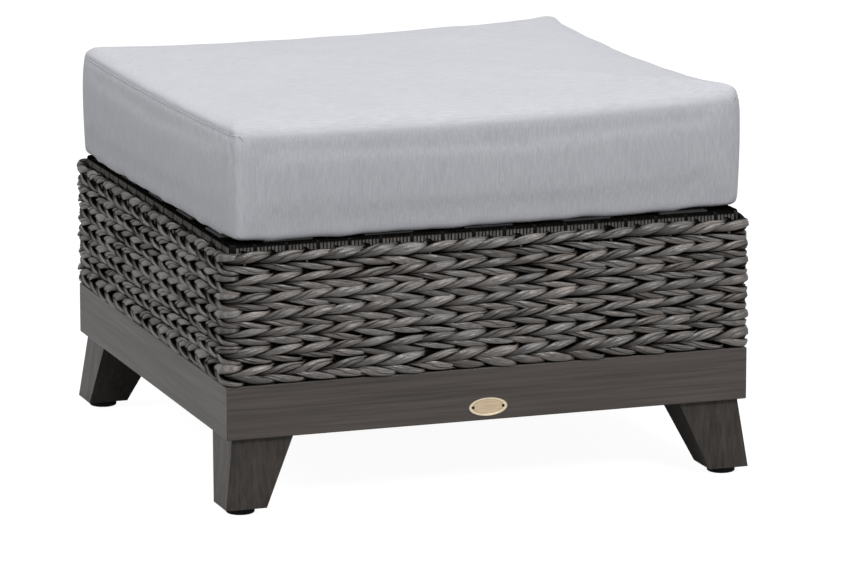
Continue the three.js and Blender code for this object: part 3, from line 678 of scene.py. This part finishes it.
def strand(generator, station, points, normals, height, style, strand_index):
    """Vertices and attributes of one strand that goes once round the stool."""
    phase = station - 0.5 + strand_index
    count = len(phase)
    turn = phase * 180 + per_stretch(generator, phase, -TURN_JITTER_DEG, TURN_JITTER_DEG)
    width = style["width"] * per_stretch(generator, phase, *WIDTH_RANGE)
    rise = style["rise"] * per_stretch(generator, phase, *RISE_RANGE)
    lift = per_stretch(generator, phase, -LIFT_JITTER, LIFT_JITTER)
    push = per_stretch(generator, phase, -PUSH_JITTER, PUSH_JITTER) + style["proud"]
    split = per_stretch(generator, phase, -1.0, 1.0)
    sideways = np.abs(normals[:, 0])
    # Painted shade and highlight along the strand: dark where it goes behind, light towards its
    # tip, and on the left and right darker and more even
    painted_shade_share = over_turn(turn, PAINTED_SHADE_SHARE) * (1 - SIDE_PAINTED_SHADE_EVEN * sideways) + SIDE_PAINTED_SHADE_EVEN * sideways
    tone = per_stretch(generator, phase, *TONE_RANGE) * painted_shade_share * (1 - SIDE_PAINTED_SHADE * sideways)
    tint = per_stretch(generator, phase, 0.0, 1.0)
    groove = per_stretch(generator, phase, 0.0, 2 * math.pi)
    depth = over_turn(turn, DEPTH_MM) * MM + push
    z = height + lift + style["hand"] * rise * over_turn(turn, RISE_SHARE)
    centre = np.column_stack([points + normals * depth[:, None], z])
    tangent = np.roll(centre, -1, axis=0) - np.roll(centre, 1, axis=0)
    tangent /= np.linalg.norm(tangent, axis=1)[:, None]
    outward = np.column_stack([normals, np.zeros(count)])
    across = np.cross(outward, tangent)
    across /= np.linalg.norm(across, axis=1)[:, None]
    face = np.cross(tangent, across)
    angle = np.radians(turn)
    roll = style["hand"] * STRAND_ROLL * np.sin(angle)
    turned_face = face * np.cos(roll)[:, None] + across * np.sin(roll)[:, None]
    turned_across = across * np.cos(roll)[:, None] - face * np.sin(roll)[:, None]
    half_width = width / 2 * np.minimum(over_turn(turn, WIDTH_SHARE), style["widest"])
    half_width *= 1 + style["side"] * sideways
    half_thick = style["thickness"] / 2 * over_turn(turn, THICK_SHARE)
    u = half_width[:, None] * SECTION_ACROSS
    v = half_thick[:, None] * SECTION_OUT
    lobes = np.cos(SECTION_ACROSS * LOBE_TURNS * 2 * math.pi + groove[:, None])
    v += SECTION_FRONT * lobes * LOBE_DEPTH
    middle = (CREASE_SPREAD * np.cos(groove)
              + CREASE_SLANT * style["hand"] * np.sin(angle))[:, None]
    deep = np.clip(CREASE_GAIN * split + CREASE_SHARE, 0, 1)[:, None]
    crease = deep * np.exp(-((SECTION_ACROSS - middle) / CREASE_WIDTH) ** 2)
    painted_crest = deep * np.exp(-((SECTION_ACROSS - middle - CREST_PLACE) / CREST_WIDTH) ** 2)
    v -= SECTION_FRONT * crease * CREASE_DEPTH
    # Painted light and shade on the face: upper edge lighter, both edges and the crease darker, a
    # painted highlight beside the crease
    painted_edge_shade = (1 + UPPER_EDGE_PAINTED_LIGHT * SECTION_ACROSS) * (1 - EDGE_PAINTED_SHADE * SECTION_ACROSS ** 6)
    shade = tone[:, None] * painted_edge_shade * (1 - CREASE_PAINTED_SHADE * crease) * (1 + CREST_PAINTED_HIGHLIGHT * painted_crest)
    vertices = (centre[:, None, :] + turned_across[:, None, :] * u[..., None]
                + turned_face[:, None, :] * v[..., None])
    step = np.linalg.norm(np.diff(centre, axis=0, prepend=centre[-1:]), axis=1)
    along = np.cumsum(step) + generator.uniform(0, STREAK_SHIFT)
    size = len(SECTION_ANGLES)
    return dict(
        vertices=vertices.reshape(-1, 3),
        along=np.repeat(along, size),
        across=u.ravel(),
        tone=shade.ravel(),
        tint=np.repeat(tint, size),
    )


def back_strand(generator, station, points, normals, height, top):
    """Vertices and attributes of the flat strand behind a row, which fills the gaps in it with
    painted shade.
    """
    phase = station + 0.5
    half = BACK_HALF_WIDTH * per_stretch(generator, phase, *BACK_RANGE)
    vertices = []
    for z_way, depth in ((-1, 0), (1, 0), (1, BACK_THICKNESS), (-1, BACK_THICKNESS)):
        place = points + normals * (BACK_DEPTH - depth)
        vertices.append(np.column_stack([place, np.minimum(height + z_way * half, top)]))
    count = len(phase)
    return dict(
        vertices=np.stack(vertices, axis=1).reshape(-1, 3),
        along=np.repeat(station * BACK_STEP, 4),
        across=np.tile([-1.0, 1.0, 1.0, -1.0], count) * BACK_HALF_WIDTH,
        # On the left and right the strand behind is painted lighter
        tone=np.repeat(BACK_PAINTED_SHADE * (1 + SIDE_BACK_PAINTED_LIGHT * np.abs(normals[:, 0])), 4),
        tint=np.full(4 * count, 0.5),
    )


def add_weave():
    """One piece for each row: its two strands and the flat one behind them."""
    station, points, normals = weave_path()
    low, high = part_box("front_woven_side")
    woven = [f"{side}_woven_side" for side in SIDES]
    size = len(SECTION_ANGLES)
    for index, height_mm in enumerate(ROW_HEIGHTS_MM):
        generator = np.random.default_rng(100 + index)
        style = DOWN_ROW if index % 2 else UP_ROW
        if index == BORDER_INDEX:
            style = BORDER_ROW
        if index == 0:
            style = TOP_ROW
        if index == len(ROW_HEIGHTS_MM) - 1:
            style = LAST_ROW
        height = low[2] + height_mm * MM
        strands = [strand(generator, station, points, normals, height, style, i) for i in (0, 1)]
        faces = [tube_faces(len(station), size, i * len(station) * size) for i in (0, 1)]
        back_top = high[2] - BACK_TOP_GAP
        strands.append(back_strand(generator, station, points, normals, height, back_top))
        faces = np.concatenate([*faces, tube_faces(len(station), 4, 2 * len(station) * size)])
        vertices = np.concatenate([s["vertices"] for s in strands])
        row = new_piece(f"weave_row_{index + 1:02d}", vertices, faces)
        set_attributes(row, **{name: np.concatenate([s[name] for s in strands])
                               for name in ("along", "across", "tone", "tint")})
        finish_piece(row, WEAVE, "resin_weave", "base", *woven)


def add_stakes():
    """Upright rods inside the weave, one piece a side."""
    low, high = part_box("front_woven_side")
    angles = np.arange(STAKE_CORNERS) * 2 * math.pi / STAKE_CORNERS
    circle = np.column_stack([np.cos(angles), np.sin(angles)]) * STAKE_RADIUS
    for side, stakes in enumerate(STAKES_PER_SIDE):
        share = (np.arange(stakes) + 0.5) / stakes
        centres, _ = outline(side, share, WEAVE_AXIS_INSET)
        vertices, faces, tones = [], [], []
        for centre in centres:
            first = len(vertices)
            for height_mm, tone in zip(STAKE_RINGS_MM, STAKE_PAINTED_SHADES):
                vertices += [(*(centre + c), low[2] + height_mm * MM) for c in circle]
                tones += [tone] * STAKE_CORNERS
            faces += capped_tube(len(STAKE_RINGS_MM), STAKE_CORNERS, first)
        piece = new_piece(f"{SIDES[side]}_stakes", vertices, faces)
        set_attributes(piece, tone=tones, along=0.5, across=0.0, tint=0.5)
        finish_piece(piece, WEAVE, "resin_weave", "base")


# Rim: groups of thin windings round each seat rail, with a gap at every stake

def add_windings():
    """One piece a side: closed loops round the rail, with painted shade that darkens them where
    they go under the cushion.
    """
    angles = np.arange(WINDING_POINTS) * 2 * math.pi / WINDING_POINTS
    ring_out = np.sign(np.cos(angles)) * np.abs(np.cos(angles)) ** WINDING_SQUARENESS
    ring_up = np.sign(np.sin(angles)) * np.abs(np.sin(angles)) ** WINDING_SQUARENESS
    for side, name in enumerate(SIDES):
        generator = np.random.default_rng(300 + side)
        low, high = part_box(f"{name}_rail_wrap")
        along, out = (np.array(d, float) for d in DIRECTIONS[side])
        axis = side % 2
        centre_out = abs((low[1 - axis] + high[1 - axis]) / 2)
        centre_up = (low[2] + high[2]) / 2
        half_out = (high[1 - axis] - low[1 - axis]) / 2 - WINDING_THICKNESS / 2
        half_up = (high[2] - low[2]) / 2 - WINDING_THICKNESS / 2
        pitch = 2 * BASE_HALF[axis] / STAKES_PER_SIDE[side]
        group_length = WINDINGS_PER_GROUP * WINDING_PITCH
        vertices, faces, tones, alongs, acrosses = [], [], [], [], []
        centres = (np.arange(STAKES_PER_SIDE[side]) - (STAKES_PER_SIDE[side] - 1) / 2) * pitch
        for group in centres:
            for turn in range(WINDINGS_PER_GROUP):
                x = group - group_length / 2 + (turn + 0.5) * WINDING_PITCH
                if abs(x) > BASE_HALF[axis] - WINDING_CORNER_GAP:
                    continue
                first = len(vertices)
                # Painted shade: windings on the left and right are darker
                tone = generator.uniform(*WINDING_TONES) * (SIDE_WINDING_PAINTED_SHADE if axis else 1)
                start = generator.uniform(0, STREAK_SHIFT)
                lean = generator.uniform(-1, 1) * WINDING_LEAN
                for i in range(WINDING_POINTS):
                    for s_along, s_out in WINDING_SECTION:
                        grow = s_out * WINDING_THICKNESS / 2
                        o = centre_out + ring_out[i] * (half_out + grow)
                        z = centre_up + ring_up[i] * (half_up + grow)
                        a = x + s_along * WINDING_WIDTH / 2 + lean * ring_up[i]
                        xy = along * a + out * o
                        vertices.append((xy[0], xy[1], z))
                        # Painted shade under the cushion
                        fade = (WINDING_PAINTED_SHADE_Z - z) / WINDING_PAINTED_SHADE_FADE
                        tones.append(tone * min(max(fade, WINDING_PAINTED_DARKEST), 1))
                        alongs.append(start + i * WINDING_STEP)
                        acrosses.append(s_along * WINDING_WIDTH / 2)
                faces.append(tube_faces(WINDING_POINTS, len(WINDING_SECTION), first))
        piece = new_piece(f"{name}_rim_windings", vertices, np.concatenate(faces))
        set_attributes(piece, along=alongs, across=acrosses, tone=tones, tint=0.5)
        finish_piece(piece, WRAP, "resin_wrap", "base", f"{name}_rail_wrap")


# Cushion: a stuffed box whose cover runs over the front, with a seam along the left and right

CUSHION_VOXEL = 5.5 * MM
CUSHION_CORNER_RADII = (19 * MM, 18 * MM, 12 * MM, 15 * MM)
CUSHION_INNER_RADIUS = 8 * MM
CUSHION_TOP_ROUNDING = 8 * MM
CUSHION_YAW_DEG = 0.95
CUSHION_SHIFT = -0.6 * MM
CUSHION_LEAN = 1.6 * MM
CUSHION_TOP_RISE = 16.4 * MM
CUSHION_SIDE_INSET = 1.4 * MM
CUSHION_FOOT_INSET = 2.6 * MM
CUSHION_HEAD_INSET = 1.4 * MM
CUSHION_CORNER_LIFT = (4.5 * MM, 1.5 * MM, 1.5 * MM, 1.5 * MM)
CUSHION_CORNER_REACH = 55 * MM
CUSHION_SEAM_Z = 456 * MM
CUSHION_TILT = 3.6 * MM
CUSHION_SAG = 4.8 * MM
CUSHION_RIGHT_SAG = 5.0 * MM
CUSHION_BOTTOM_ROLL = 6 * MM
CUSHION_HANG = 5.2 * MM
CUSHION_CAP = 2.2 * MM
CLOTH_FRAMES = 20

# Rings of the stuffed form: inset and drop under the seat's edge, and shares of the way up
UNDERSIDE_RINGS = ((30 * MM, 0), (17 * MM, 0), (13 * MM, CUSHION_HANG / 2))
RING_SHARES = (0.15, 0.3, 0.45, 0.6, 0.75, 0.88)

# How the top edge turns over, from the side in: inset and height over the seam, in millimetres
SEAM_SIDE_TOP = [(2.6, -3.6), (3.2, 0), (4.8, 4.4), (8.8, 8.4), (17, 11.4), (34, 12.6)]
ROLLED_SIDE_TOP = [(2.4, -9), (3.4, -4.0), (5.6, 0.6), (9.5, 4.4), (16.5, 7.8), (34, 10.4)]


def cushion_plan(inset, radius=None, rounder=0.0):
    """Plan outline with rounded corners, and at each point its outward way and place along."""
    low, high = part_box("seat_cushion")
    half = [(high[0] - low[0]) / 2, (high[1] - low[1]) / 2]
    radii = [radius or max(corner + rounder - inset / 2, CUSHION_INNER_RADIUS)
             for corner in CUSHION_CORNER_RADII]
    steps, bend_steps = 40, 8
    points, ways, shares = [], [], []
    for side in range(4):
        along, out = (np.array(d, float) for d in DIRECTIONS[side])
        length, offset = half[side % 2] - inset, half[1 - side % 2] - inset
        before, after = radii[side - 1], radii[side]
        for i in range(steps):
            place = -length + before + (2 * length - before - after) * i / steps
            points.append(along * place + out * offset)
            ways.append(out)
            shares.append(place / length)
        for i in range(bend_steps):
            angle = i / bend_steps * math.pi / 2
            way = along * math.sin(angle) + out * math.cos(angle)
            points.append(along * (length - after) + out * (offset - after) + way * after)
            ways.append(way)
            shares.append(1.0)
    return np.array(points), np.array(ways), np.array(shares)


def seam_height(x, y, hollow):
    """Height of the top edge: higher on the right and at its front, and sagging between corners."""
    _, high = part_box("seat_cushion")
    x, y = np.asarray(x) / high[0], np.asarray(y) / high[1]
    lean = -CUSHION_LEAN * y * np.clip(x, 0, 1) ** 2
    sag = CUSHION_SAG + CUSHION_RIGHT_SAG * np.clip(x, 0, 1) ** 4
    return CUSHION_SEAM_Z + CUSHION_TILT * x + lean - sag * hollow


def corner_lift(plan):
    """How far the underside curls up near each corner."""
    low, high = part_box("seat_cushion")
    lift = np.zeros(len(plan))
    corners = ((high[0], low[1]), (high[0], high[1]), (low[0], high[1]), (low[0], low[1]))
    for corner, amount in zip(corners, CUSHION_CORNER_LIFT):
        distance = np.hypot(plan[:, 0] - corner[0], plan[:, 1] - corner[1])
        lift += amount * np.exp(-(distance / CUSHION_CORNER_REACH) ** 2)
    return lift


def side_inset(share):
    """How far the upright sides lie inside the box, by their height from 0 to 1: they bulge."""
    return CUSHION_SIDE_INSET + (CUSHION_FOOT_INSET * (1 - share) ** 1.5
                                 + CUSHION_HEAD_INSET * share ** 4)


def cushion_start():
    """The stuffed form before it swells, as closed rings from the bottom to the crown."""
    low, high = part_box("seat_cushion")
    bottom = low[2] + 1 * MM
    rings = []

    def ring(inset, place, rounder=0.0):
        plan, _, shares = cushion_plan(inset, rounder=rounder)
        seam = seam_height(plan[:, 0], plan[:, 1], 1 - shares ** 2)
        rings.append(np.column_stack([plan, place(plan, seam, shares)]))

    for inset, drop in UNDERSIDE_RINGS:
        ring(inset, lambda plan, seam, shares: np.full(len(plan), bottom - drop))
    bottom -= CUSHION_HANG
    for i in range(6):
        angle = i / 5 * math.pi / 2
        inset = side_inset(0) + CUSHION_BOTTOM_ROLL * (1 - math.sin(angle))
        rise = CUSHION_BOTTOM_ROLL * (1 - math.cos(angle))
        ring(inset, lambda plan, seam, shares: bottom + rise + corner_lift(plan))
    side_low = bottom + CUSHION_BOTTOM_ROLL
    for share in RING_SHARES:
        ring(side_inset(share), lambda plan, seam, shares:
             (side_low + corner_lift(plan)) * (1 - share) + seam * share,
             rounder=CUSHION_TOP_ROUNDING * share ** 4)
    for (seam_in, seam_up), (rolled_in, rolled_up) in zip(SEAM_SIDE_TOP, ROLLED_SIDE_TOP):
        mixed = []
        for inset, rise in ((seam_in * MM, seam_up * MM), (rolled_in * MM, rolled_up * MM)):
            plan, ways, shares = cushion_plan(inset, rounder=CUSHION_TOP_ROUNDING)
            seam = seam_height(plan[:, 0], plan[:, 1], 1 - shares ** 2)
            mixed.append(np.column_stack([plan, seam + rise]))
        weight = np.clip((np.abs(ways[:, 0]) - 0.3) / 0.5, 0, 1)[:, None]
        rings.append(mixed[0] * weight + mixed[1] * (1 - weight))
    weight = weight[:, 0]
    edge_inset = ROLLED_SIDE_TOP[-1][0] * MM
    edge_rise = (SEAM_SIDE_TOP[-1][1] * weight + ROLLED_SIDE_TOP[-1][1] * (1 - weight)) * MM
    for share in reversed(RING_SHARES):
        inset = edge_inset + (high[1] - edge_inset - CUSHION_CORNER_RADII[0]) * (1 - share)
        plan, _, shares = cushion_plan(inset, CUSHION_INNER_RADIUS)
        seam = seam_height(plan[:, 0], plan[:, 1] * share, (1 - shares ** 2) * share ** 2)
        rise = edge_rise * share ** 2 + CUSHION_TOP_RISE * (1 - share ** 2)
        rings.append(np.column_stack([plan, seam + rise]))
    vertices = np.concatenate(rings)
    count = len(rings[0])
    return new_piece("seat_cushion_cover", vertices, capped_tube(len(rings), count))


def apply_modifiers(piece):
    graph = bpy.context.evaluated_depsgraph_get()
    graph.update()
    mesh = bpy.data.meshes.new_from_object(piece.evaluated_get(graph))
    old = piece.data
    piece.modifiers.clear()
    piece.data = mesh
    bpy.data.meshes.remove(old)


def vertex_vectors(piece, kind="co"):
    """Places of all vertices, or their normals."""
    numbers = np.zeros(len(piece.data.vertices) * 3, np.float32)
    piece.data.vertices.foreach_get(kind, numbers)
    return numbers.reshape(-1, 3).astype(float)


def move_vertices(piece, co):
    piece.data.vertices.foreach_set("co", np.asarray(co, np.float32).ravel())
    piece.data.update()


def swell(piece):
    """Cloth under pressure, so that the cover fills out and creases where it is held."""
    start = vertex_vectors(piece)
    cloth = piece.modifiers.new("Cloth", "CLOTH")
    settings = cloth.settings
    settings.quality = 6
    settings.mass = 0.3
    settings.use_pressure = True
    settings.uniform_pressure_force = 4.0
    settings.effector_weights.gravity = 0.0
    settings.tension_stiffness = 12
    settings.compression_stiffness = 12
    settings.shear_stiffness = 6
    settings.bending_stiffness = 0.2
    settings.shrink_min = -0.006
    cloth.point_cache.frame_start = 1
    cloth.point_cache.frame_end = CLOTH_FRAMES
    for step in range(1, CLOTH_FRAMES + 1):
        bpy.context.scene.frame_set(step)
    apply_modifiers(piece)
    moved = vertex_vectors(piece) - start
    length = np.linalg.norm(moved, axis=1)
    move_vertices(piece, start + moved * (CUSHION_CAP / (CUSHION_CAP + length))[:, None])
    bpy.context.scene.frame_set(1)


def waves(generator, place, lengths_mm):
    """Sum of sines with random phases, about -1 to 1."""
    total = np.zeros_like(place)
    for length in lengths_mm:
        total += np.sin(2 * math.pi * place / (length * MM) + generator.uniform(0, 2 * math.pi))
    return total / len(lengths_mm)


# Folds of the cover: wave lengths in millimetres, and their heights and reaches
SEAM_FOLDS_MM = (9, 13, 21, 34)
SEAM_FOLD_SLANT = 0.45
SEAM_FOLD_START = 3 * MM
SEAM_FOLD_REACH = 22 * MM
SEAM_FOLD_BACK = 0.7
SEAM_FOLD_GAIN = 0.9
EDGE_FOLDS_MM = (17, 29, 47)
EDGE_FOLD_HEIGHT = 0.45 * MM
EDGE_FOLD_REACH = 16 * MM
BROAD_FOLDS_MM = (83, 131, 190)
BROAD_FOLD_HEIGHT = 0.6 * MM
HEM_FOLDS_MM = (47, 71, 113)
HEM_FOLD_HEIGHT = 1.1 * MM
HEM_REACH = 9 * MM
HEM_BLEND = 12 * MM
CORNER_PINCH = 1.6 * MM
CORNER_PINCH_REACH = 7 * MM
CORNER_PINCH_INSET = (3 * MM, 14 * MM)

# Groove along each side seam
SEAM_BAND = 8 * MM
SEAM_GROOVE_DROP = 1 * MM
SEAM_GROOVE_REACH = 3.5 * MM
SEAM_GROOVE_DEPTH = 1.1 * MM


def pucker(co, normals):
    """Small folds under the side seams, along the front edge and beside the corners."""
    low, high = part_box("seat_cushion")
    generator = np.random.default_rng(5)
    hollow = np.clip(1 - (co[:, 1] / high[1]) ** 2, 0, 1)
    below = seam_height(co[:, 0], co[:, 1], hollow) - co[:, 2]
    side = np.clip((np.abs(normals[:, 0]) - 0.6) / 0.3, 0, 1)
    slant = co[:, 1] - SEAM_FOLD_SLANT * below * np.sign(co[:, 0])
    folds = waves(generator, slant, SEAM_FOLDS_MM)
    nearer = 0.5 + 0.5 * np.clip(-co[:, 1] / high[1], -1, 1)
    fade = np.exp(-np.clip(below, 0, 1) / SEAM_FOLD_REACH) * np.clip(below / SEAM_FOLD_START, 0, 1)
    push = side * folds * fade * (SEAM_FOLD_BACK + SEAM_FOLD_GAIN * nearer) * MM
    front = np.clip((-normals[:, 1] - 0.25) / 0.4, 0, 1)
    edge = np.exp(-((co[:, 2] - CUSHION_SEAM_Z) / EDGE_FOLD_REACH) ** 2)
    push += front * edge * waves(generator, co[:, 0], EDGE_FOLDS_MM) * EDGE_FOLD_HEIGHT
    diagonal = co[:, 0] + co[:, 1]
    push += waves(generator, diagonal, BROAD_FOLDS_MM) * BROAD_FOLD_HEIGHT
    lip = np.clip((low[2] + HEM_REACH - co[:, 2]) / HEM_BLEND, 0, 1)
    push += lip * waves(generator, diagonal, HEM_FOLDS_MM) * HEM_FOLD_HEIGHT
    corner = np.hypot(*(np.abs(co[:, i]) - high[i] + CORNER_PINCH_INSET[i] for i in (0, 1)))
    push -= CORNER_PINCH * np.exp(-(corner / CORNER_PINCH_REACH) ** 2)
    return co + normals * push[:, None]


def add_cushion():
    """The cover, swollen by a cloth simulation, then folded, seamed and laid on the seat."""
    low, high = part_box("seat_cushion")
    cushion = cushion_start()
    remesh = cushion.modifiers.new("Remesh", "REMESH")
    remesh.mode = "VOXEL"
    remesh.voxel_size = CUSHION_VOXEL
    apply_modifiers(cushion)
    swell(cushion)
    smooth = cushion.modifiers.new("Smooth", "SMOOTH")
    smooth.iterations = 3
    smooth.factor = 0.5
    subdivide = cushion.modifiers.new("Subdivide", "SUBSURF")
    subdivide.levels = subdivide.render_levels = 1
    apply_modifiers(cushion)
    cushion.data.polygons.foreach_set("use_smooth", [True] * len(cushion.data.polygons))
    co = pucker(vertex_vectors(cushion), vertex_vectors(cushion, "normal"))
    co[:, 2] = np.maximum(co[:, 2], low[2] + 0.3 * MM - CUSHION_HANG)
    move_vertices(cushion, co)
    normals = vertex_vectors(cushion, "normal")
    hollow = np.clip(1 - (co[:, 1] / high[1]) ** 2, 0, 1)
    seam = co[:, 2] - seam_height(co[:, 0], co[:, 1], hollow)
    has_seam = (np.abs(co[:, 0]) > high[0] - SEAM_BAND) & (np.abs(normals[:, 1]) < 0.6)
    groove = np.exp(-((seam + SEAM_GROOVE_DROP) / SEAM_GROOVE_REACH) ** 2) * SEAM_GROOVE_DEPTH
    co -= normals * np.where(has_seam, groove, 0.0)[:, None]
    move_vertices(cushion, co)
    on_top = np.clip((vertex_vectors(cushion, "normal")[:, 2] - 0.45) / 0.25, 0, 1)
    set_attributes(cushion, seam=np.where(has_seam, seam, 1.0), on_top=on_top)
    finish_piece(cushion, CLOTH, "cushion_cloth", "cushion", "seat_cushion")
    for piece in [cushion, *add_seam_ridges(cushion)]:
        turn_on_seat(piece)


def turn_on_seat(piece):
    """The loose cushion lies a degree askew on the stool."""
    co = vertex_vectors(piece)
    angle = math.radians(CUSHION_YAW_DEG)
    x = co[:, 0] * math.cos(angle) - co[:, 1] * math.sin(angle) + CUSHION_SHIFT
    y = co[:, 0] * math.sin(angle) + co[:, 1] * math.cos(angle)
    move_vertices(piece, np.column_stack([x, y, co[:, 2]]))


# Seam ridges, which hook down at their ends; their first rings take the seam's painted shade line,
# as a dark knot
SEAM_POINTS = 160
SEAM_RIDGE_RADIUS = 0.75 * MM
SEAM_RIDGE_SIDES = 8
SEAM_END_GAP = 6 * MM
SEAM_HOOK = 6 * MM
SEAM_DROP = 0.4 * MM
SEAM_PROUD = 0.2 * MM
SEAM_KNOT_RINGS = 2


def add_seam_ridges(cushion):
    """Turned-in edge of the cover, a thin ridge along the left and the right seam."""
    _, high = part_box("seat_cushion")
    graph = bpy.context.evaluated_depsgraph_get()
    graph.update()
    reach = high[1] - SEAM_END_GAP
    ridges = []
    for name, way in (("left", -1), ("right", 1)):
        path = []
        for y in np.linspace(-reach, reach, SEAM_POINTS):
            hollow = 1 - (y / high[1]) ** 2
            hook = max(0.0, (abs(y) - reach) / SEAM_HOOK + 1) ** 2 * SEAM_HOOK
            z = float(seam_height(way * high[0], y, hollow)) - SEAM_DROP - hook
            hit, place, normal, _ = cushion.ray_cast((way * 1.0, y, z), (-way, 0, 0))
            if hit:
                path.append(place + normal * SEAM_PROUD)
        vertices = []
        for i, place in enumerate(path):
            ahead = path[min(i + 1, len(path) - 1)] - path[max(i - 1, 0)]
            ahead.normalize()
            side = ahead.cross(Vector((0, 0, 1))).normalized()
            up = side.cross(ahead)
            end = min(i, len(path) - 1 - i) / 4
            radius = SEAM_RIDGE_RADIUS * min(1.0, 0.25 + end)
            for k in range(SEAM_RIDGE_SIDES):
                angle = k * 2 * math.pi / SEAM_RIDGE_SIDES
                vertices.append(place + (side * math.cos(angle) + up * math.sin(angle)) * radius)
        faces = capped_tube(len(path), SEAM_RIDGE_SIDES)
        ridge = new_piece(f"cushion_seam_{name}", vertices, faces)
        # The knot rings get the painted shade of the seam line
        knot = np.arange(len(vertices)) < SEAM_KNOT_RINGS * SEAM_RIDGE_SIDES
        set_attributes(ridge, seam=np.where(knot, 0.0, 1.0), on_top=0.0)
        ridges.append(finish_piece(ridge, CLOTH, "cushion_cloth", "cushion"))
    return ridges


# Carried-over pieces

def dress(node, material, bevel=0.0):
    """A CAD node keeps its shape and gets its material, and softened edges where they show."""
    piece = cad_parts[node]
    piece.data.materials.clear()
    piece.data.materials.append(material)
    if bevel:
        weld = piece.modifiers.new("Weld", "WELD")
        weld.merge_threshold = 0.01 * MM
        edge = piece.modifiers.new("Edge", "BEVEL")
        edge.width = bevel
        edge.segments = 3
        edge.limit_method = "ANGLE"
        edge.angle_limit = math.radians(40)
        edge.harden_normals = True


def dress_frame():
    for side, name in enumerate(SIDES):
        dress(f"{name}_base_rail", GRAIN[side % 2])
        dress(f"{name}_seat_rail", INNER)
    for corner in CORNERS:
        dress(f"{corner}_leg", GRAIN[2], 1.2 * MM)
        dress(f"{corner}_gusset_plate", INNER, 0.5 * MM)
        dress(f"{corner}_post", INNER)
        dress(f"{corner}_glide_stud", ZINC)
        dress(f"{corner}_glide_foot", GLIDE)
        for i in (1, 2):
            dress(f"{corner}_leg_bolt_{i}", ZINC)
    for i in range(1, 6):
        dress(f"lengthwise_strap_{i}", WEBBING)
        dress(f"crosswise_strap_{i}", WEBBING)
    dress("oval_plate", BRASS)
    dress("plate_pin_left", DARK_PIN)
    dress("plate_pin_right", DARK_PIN)


add_camera()
add_world()
for light in LIGHTS:
    add_area_light(*light)
add_floor()
dress_frame()
add_weave()
add_stakes()
add_windings()
add_cushion()

bpy.context.scene.view_settings.view_transform = "Standard"
